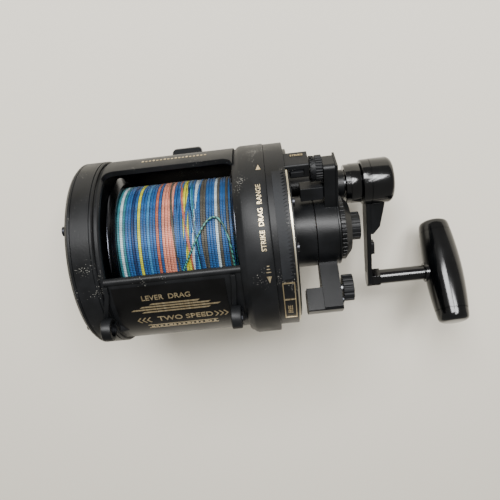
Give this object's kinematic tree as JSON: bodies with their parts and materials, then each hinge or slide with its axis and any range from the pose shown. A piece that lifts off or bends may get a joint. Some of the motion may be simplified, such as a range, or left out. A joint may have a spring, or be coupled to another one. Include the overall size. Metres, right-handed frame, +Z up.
{
  "type": "trolling reel",
  "caption": "Two-speed lever-drag trolling reel with one-piece frame, wound spool, swinging drag lever and crank handle with T-bar grip.",
  "frame": {"origin": "centre of the underside of the reel foot", "axes": "+X along the spool axis to the handle side, +Y towards the rod tip, +Z up from the foot"},
  "size_m": [0.2334, 0.1327, 0.1221],
  "materials": {
    "graphite": "satin moulded graphite plastic",
    "painted_black": "satin black",
    "moulded_black": "matte",
    "gloss_black": "gloss",
    "aluminium": "turned and anodised dark",
    "steel": "brushed",
    "bronze": "sintered",
    "carbon": "woven carbon fibre",
    "gilt": "satin gilt",
    "braid": "braided line, several colours",
    "loop_braid": "braided line"
  },
  "bodies": {
    "body": {"frame": "graphite", "foot": "painted_black", "foot_screws": "steel", "harness_lug_eyelets": "steel", "label_panel": "graphite", "left_side_cover": "graphite", "left_cover_screws": "steel", "left_shaft_bush": "bronze", "gear_plate": "aluminium", "housing_screws": "steel", "shaft_bearings": "steel", "pawl_pin": "steel", "gear_housing": "graphite", "lever_boss": "painted_black", "handle_tower": "painted_black", "scale_strip": "gilt", "scale_band": "graphite", "strike_block": "graphite", "lever_thrust_washer": "bronze"},
    "click": {"click_button": "moulded_black", "click_pawl": "steel"},
    "shaft": {"spool_shaft": "steel", "spring_washers": "steel"},
    "spool": {"spool": "aluminium", "spool_bearings": "steel", "wound_line": "braid", "line_loop": "loop_braid", "click_gear": "steel", "drag_washer": "carbon"},
    "drive": {"drag_plate": "steel", "pinion_sleeve": "steel", "high_pinion": "steel", "low_pinion": "steel"},
    "crank": {"handle_shaft": "steel", "high_gear": "steel", "gear_spacer": "steel", "ratchet_wheel": "steel", "handle_sleeve": "gloss_black", "handle_hub": "gloss_black", "handle_arm": "painted_black", "arm_fairing": "painted_black", "knob_shaft": "gloss_black"},
    "low_gear": {"low_gear": "steel"},
    "shift_button": {"shift_button": "gloss_black"},
    "release": {"gear_release_slide": "moulded_black"},
    "grip": {"grip": "gloss_black", "grip_caps": "gloss_black", "grip_bush": "bronze"},
    "lever": {"drag_lever": "painted_black", "lever_thumb_pad": "moulded_black", "lever_pointer_block": "painted_black", "drag_cam": "steel", "lever_side_plate": "painted_black", "lever_tail_screws": "steel"},
    "selector": {"selector_shaft": "steel", "selector_knob": "moulded_black"},
    "preset": {"preset_knob": "painted_black", "preset_cap": "moulded_black"},
    "strike_button": {"strike_button": "moulded_black"},
    "pawl": {"anti_reverse_pawl": "steel"}
  },
  "joints": [
    {"name": "click_slide", "type": "slide", "parent": "body", "child": "click", "axis": [0, 1, 0], "range_m": [0, 0.004]},
    {"name": "shaft_slide", "type": "slide", "parent": "body", "child": "shaft", "axis": [1, 0, 0], "range_m": [-0.00056, 0.00014]},
    {"name": "spool_spin", "type": "hinge", "parent": "shaft", "child": "spool", "pos_m": [0, 0, 0.062], "axis": [1, 0, 0], "continuous": true},
    {"name": "drive_spin", "type": "hinge", "parent": "body", "child": "drive", "pos_m": [0.05, 0, 0.062], "axis": [1, 0, 0], "continuous": true},
    {"name": "crank_spin", "type": "hinge", "parent": "body", "child": "crank", "pos_m": [0.1, 0.0207, 0.0414], "axis": [1, 0, 0], "continuous": true},
    {"name": "low_gear_spin", "type": "hinge", "parent": "body", "child": "low_gear", "pos_m": [0.0597, 0.0207, 0.0414], "axis": [1, 0, 0], "continuous": true},
    {"name": "shift_press", "type": "slide", "parent": "crank", "child": "shift_button", "axis": [-1, 0, 0], "range_m": [0, 0.0025], "stiffness_N_per_m": 400, "springref_m": -0.001},
    {"name": "release_slide", "type": "slide", "parent": "crank", "child": "release", "axis": [0, -0.9995, -0.0311], "range_m": [0, 0.005], "stiffness_N_per_m": 200, "springref_m": -0.001},
    {"name": "grip_spin", "type": "hinge", "parent": "crank", "child": "grip", "pos_m": [0.16, -0.0467, 0.0393], "axis": [1, 0, 0], "continuous": true},
    {"name": "lever_swing", "type": "hinge", "parent": "body", "child": "lever", "pos_m": [0.084, 0, 0.062], "axis": [1, 0, 0], "range_deg": [-20, 95]},
    {"name": "selector_turn", "type": "hinge", "parent": "lever", "child": "selector", "pos_m": [0.09, -0.03161, 0.08025], "axis": [1, 0, 0], "range_deg": [0, 180]},
    {"name": "preset_turn", "type": "hinge", "parent": "lever", "child": "preset", "pos_m": [0.095, 0, 0.062], "axis": [1, 0, 0], "range_deg": [-270, 270]},
    {"name": "strike_press", "type": "slide", "parent": "body", "child": "strike_button", "axis": [0, 0.3584, -0.9336], "range_m": [0, 0.0015], "stiffness_N_per_m": 300, "springref_m": -0.001},
    {"name": "pawl_swing", "type": "hinge", "parent": "body", "child": "pawl", "pos_m": [0.0535, 0.04, 0.052], "axis": [1, 0, 0], "range_deg": [0, 14], "stiffness_Nm_per_rad": 0.01, "springref_deg": -2.86}
  ],
  "couplings": [
    {"joint": "drive_spin", "follows": "spool_spin", "ratio": 1},
    {"joint": "crank_spin", "follows": "spool_spin", "ratio": -0.32727},
    {"joint": "low_gear_spin", "follows": "spool_spin", "ratio": -0.62222},
    {"joint": "shaft_slide", "follows": "lever_swing", "m_per_rad": -0.0003}
  ]
}
